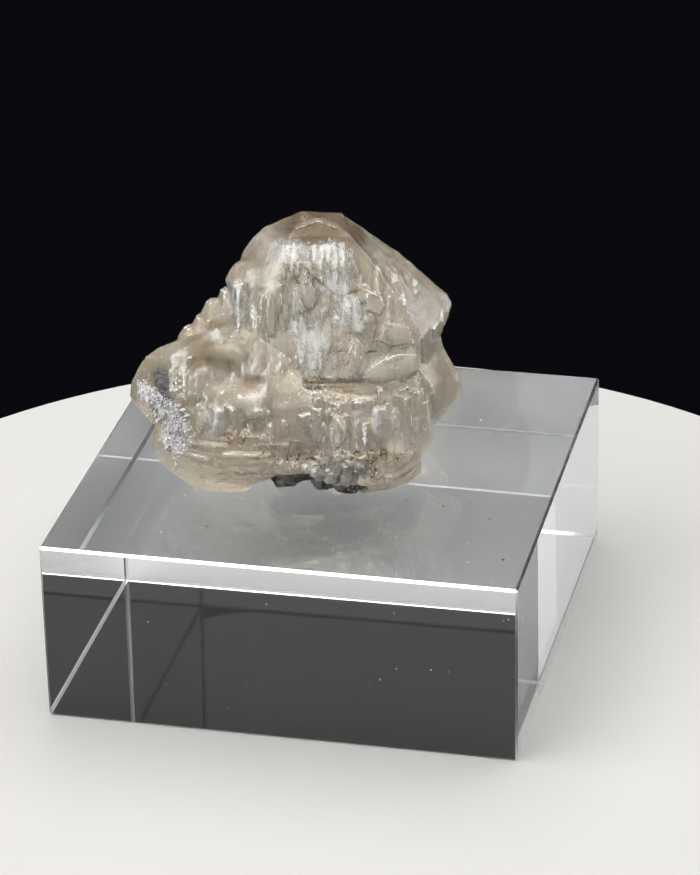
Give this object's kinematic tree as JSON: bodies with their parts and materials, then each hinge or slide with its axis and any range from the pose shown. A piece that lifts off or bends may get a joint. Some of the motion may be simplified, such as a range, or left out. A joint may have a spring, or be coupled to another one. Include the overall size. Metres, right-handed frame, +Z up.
{
  "type": "cerussite crystal on display block",
  "caption": "Cluster of intergrown, pale, stepped and ribbed cerussite crystals on a remnant of matrix, resting on a square clear acrylic display block.",
  "frame": {"origin": "middle of the display block's underside, on the surface that it stands on", "axes": "+Z up; X and Y along the block's sides, with +Y to the back of the crystal cluster and +X to its right as seen from the front"},
  "size_m": [0.05, 0.05, 0.0477],
  "materials": {
    "acrylic": "clear cast acrylic, polished faces and edges",
    "cerussite": "translucent pale brown crystal, bright lustre, etched and striated faces",
    "matrix": "rough dark grey-brown rock"
  },
  "bodies": {
    "root": {"display_block": "acrylic", "cerussite_crystal": "cerussite", "matrix_remnant": "matrix"}
  },
  "joints": []
}
